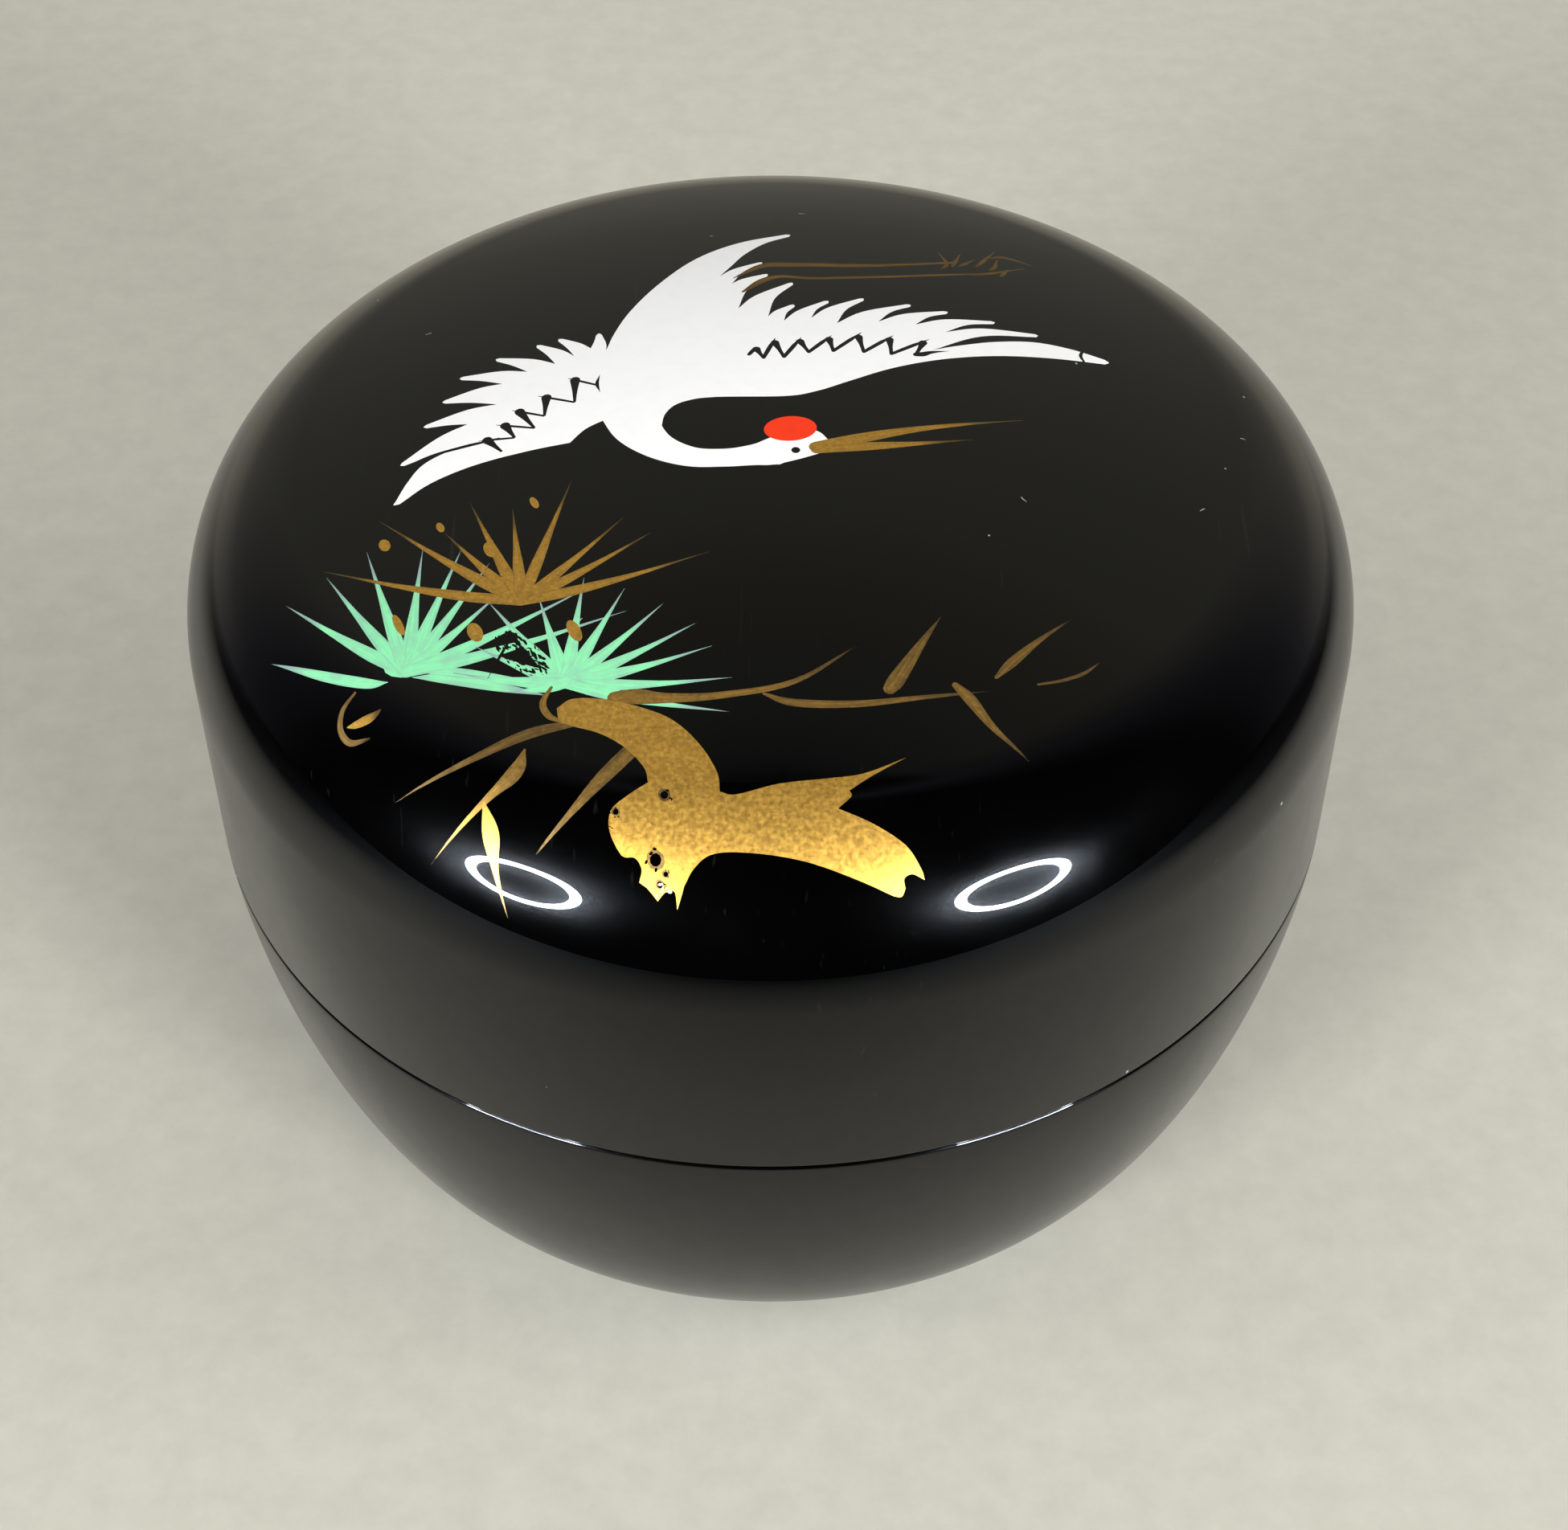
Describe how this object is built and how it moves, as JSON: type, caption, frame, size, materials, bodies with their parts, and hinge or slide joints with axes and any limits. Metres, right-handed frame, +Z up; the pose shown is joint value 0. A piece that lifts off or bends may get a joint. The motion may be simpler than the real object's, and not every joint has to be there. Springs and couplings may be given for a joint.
{
  "type": "lacquer box",
  "caption": "Flat round tea caddy in black lacquer with a domed lift-off lid, painted on top with a white crane and pine fans in green and gold.",
  "frame": {"origin": "centre of the foot, on the surface the box stands on", "axes": "+Z up along the axis the box is turned on; -Y is the side nearest the viewer of the picture on the lid; +X is where the crane's bill points"},
  "size_m": [0.082, 0.082, 0.0599],
  "materials": {
    "body_lacquer": "polished black lacquer",
    "lid_lacquer": "polished black lacquer, with a picture painted flush on the crown"
  },
  "bodies": {
    "root": {"body": "body_lacquer", "lid": "lid_lacquer"}
  },
  "joints": []
}
